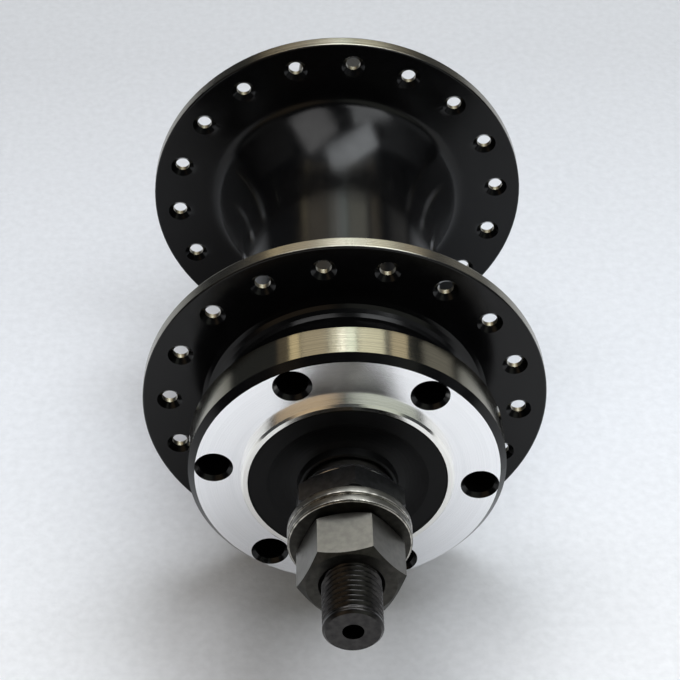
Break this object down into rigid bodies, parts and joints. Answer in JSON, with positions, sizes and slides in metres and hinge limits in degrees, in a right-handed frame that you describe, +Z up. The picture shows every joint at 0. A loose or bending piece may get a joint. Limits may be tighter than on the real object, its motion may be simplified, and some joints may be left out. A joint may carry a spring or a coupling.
{
  "type": "bicycle hub gear",
  "caption": "Black large-flange rear bicycle hub with an internal planetary gear, a bolt-on brake rotor face and a nutted axle.",
  "frame": {"origin": "middle of the axle, which is halfway between the two outer lock faces", "axes": "+Y along the axle toward the sprocket end, -Y toward the brake rotor face, +Z up"},
  "size_m": [0.0698, 0.156, 0.0698],
  "materials": {
    "shell_black": "satin",
    "steel": "satin",
    "dark_steel": "satin",
    "bright_steel": "polished",
    "black_plastic": "satin"
  },
  "bodies": {
    "axle": {"axle": "dark_steel", "sun_gear": "steel", "left_cone": "steel", "right_cone": "steel", "left_lock_washer": "bright_steel", "right_lock_washer": "bright_steel", "left_locknut": "dark_steel", "right_locknut": "dark_steel", "left_axle_washers": "steel", "right_axle_washer": "steel", "left_axle_nut": "steel", "right_axle_nut": "steel", "clutch_spring": "bright_steel"},
    "shell": {"shell": "shell_black", "left_ball_cup": "steel", "right_ball_ring": "steel", "left_dust_cap": "black_plastic", "right_dust_cap": "dark_steel"},
    "driver": {"driver": "steel", "driver_dust_cap": "dark_steel"},
    "clutch": {"clutch": "dark_steel"},
    "selector": {"thrust_ring": "steel", "axle_key": "steel", "selector_rod": "bright_steel"},
    "gear_ring": {"gear_ring": "steel", "high_pawl_pins": "bright_steel", "high_pawl_springs": "bright_steel"},
    "high_pawl_a": {"high_pawl_a": "dark_steel"},
    "high_pawl_b": {"high_pawl_b": "dark_steel"},
    "planet_cage": {"planet_cage": "steel", "planet_pins": "bright_steel", "low_pawl_pins": "bright_steel", "low_pawl_springs": "bright_steel"},
    "low_pawl_a": {"low_pawl_a": "dark_steel"},
    "low_pawl_b": {"low_pawl_b": "dark_steel"},
    "planet_a": {"planet_a": "steel"},
    "planet_b": {"planet_b": "steel"},
    "planet_c": {"planet_c": "steel"},
    "planet_d": {"planet_d": "steel"},
    "left_bearing": {"left_balls": "bright_steel", "left_ball_cage": "steel"},
    "middle_bearing": {"middle_balls": "bright_steel", "middle_ball_cage": "steel"},
    "right_bearing": {"right_balls": "bright_steel", "right_ball_cage": "steel"}
  },
  "joints": [
    {"name": "shell_spin", "type": "hinge", "parent": "axle", "child": "shell", "pos_m": [0, 0, 0], "axis": [0, 1, 0], "continuous": true},
    {"name": "driver_spin", "type": "hinge", "parent": "axle", "child": "driver", "pos_m": [0, 0, 0], "axis": [0, 1, 0], "continuous": true},
    {"name": "gear_ring_spin", "type": "hinge", "parent": "axle", "child": "gear_ring", "pos_m": [0, 0, 0], "axis": [0, 1, 0], "continuous": true},
    {"name": "planet_cage_spin", "type": "hinge", "parent": "axle", "child": "planet_cage", "pos_m": [0, 0, 0], "axis": [0, 1, 0], "continuous": true},
    {"name": "planet_a_spin", "type": "hinge", "parent": "planet_cage", "child": "planet_a", "pos_m": [0.0096, -0.008, 0], "axis": [0, 1, 0], "continuous": true},
    {"name": "planet_b_spin", "type": "hinge", "parent": "planet_cage", "child": "planet_b", "pos_m": [0, -0.008, -0.0096], "axis": [0, 1, 0], "continuous": true},
    {"name": "planet_c_spin", "type": "hinge", "parent": "planet_cage", "child": "planet_c", "pos_m": [-0.0096, -0.008, 0], "axis": [0, 1, 0], "continuous": true},
    {"name": "planet_d_spin", "type": "hinge", "parent": "planet_cage", "child": "planet_d", "pos_m": [0, -0.008, 0.0096], "axis": [0, 1, 0], "continuous": true},
    {"name": "left_bearing_spin", "type": "hinge", "parent": "axle", "child": "left_bearing", "pos_m": [0, 0, 0], "axis": [0, 1, 0], "continuous": true},
    {"name": "middle_bearing_spin", "type": "hinge", "parent": "axle", "child": "middle_bearing", "pos_m": [0, 0, 0], "axis": [0, 1, 0], "continuous": true},
    {"name": "right_bearing_spin", "type": "hinge", "parent": "axle", "child": "right_bearing", "pos_m": [0, 0, 0], "axis": [0, 1, 0], "continuous": true},
    {"name": "clutch_slide", "type": "slide", "parent": "driver", "child": "clutch", "axis": [0, 1, 0], "range_m": [-0.0025, 0.0025], "deforming": ["clutch_spring"]},
    {"name": "selector_slide", "type": "slide", "parent": "axle", "child": "selector", "axis": [0, 1, 0], "range_m": [-0.0025, 0.0025]},
    {"name": "high_pawl_a_pivot", "type": "hinge", "parent": "gear_ring", "child": "high_pawl_a", "pos_m": [0.0128, 0.0317, 0], "axis": [0, 1, 0], "range_deg": [-15, 0]},
    {"name": "high_pawl_b_pivot", "type": "hinge", "parent": "gear_ring", "child": "high_pawl_b", "pos_m": [-0.0128, 0.0317, 0], "axis": [0, 1, 0], "range_deg": [-15, 0]},
    {"name": "low_pawl_a_pivot", "type": "hinge", "parent": "planet_cage", "child": "low_pawl_a", "pos_m": [0.0096, -0.0336, 0], "axis": [0, 1, 0], "range_deg": [-5, 0]},
    {"name": "low_pawl_b_pivot", "type": "hinge", "parent": "planet_cage", "child": "low_pawl_b", "pos_m": [-0.0096, -0.0336, 0], "axis": [0, 1, 0], "range_deg": [-5, 0]}
  ],
  "couplings": [
    {"joint": "driver_spin", "follows": "shell_spin", "ratio": 1},
    {"joint": "gear_ring_spin", "follows": "shell_spin", "ratio": 1},
    {"joint": "planet_cage_spin", "follows": "shell_spin", "ratio": 0.6875},
    {"joint": "planet_a_spin", "follows": "shell_spin", "ratio": 1.1458},
    {"joint": "planet_b_spin", "follows": "shell_spin", "ratio": 1.1458},
    {"joint": "planet_c_spin", "follows": "shell_spin", "ratio": 1.1458},
    {"joint": "planet_d_spin", "follows": "shell_spin", "ratio": 1.1458},
    {"joint": "left_bearing_spin", "follows": "shell_spin", "ratio": 0.59},
    {"joint": "middle_bearing_spin", "follows": "shell_spin", "ratio": 1},
    {"joint": "right_bearing_spin", "follows": "shell_spin", "ratio": 0.59},
    {"joint": "selector_slide", "follows": "clutch_slide", "ratio": 1}
  ]
}
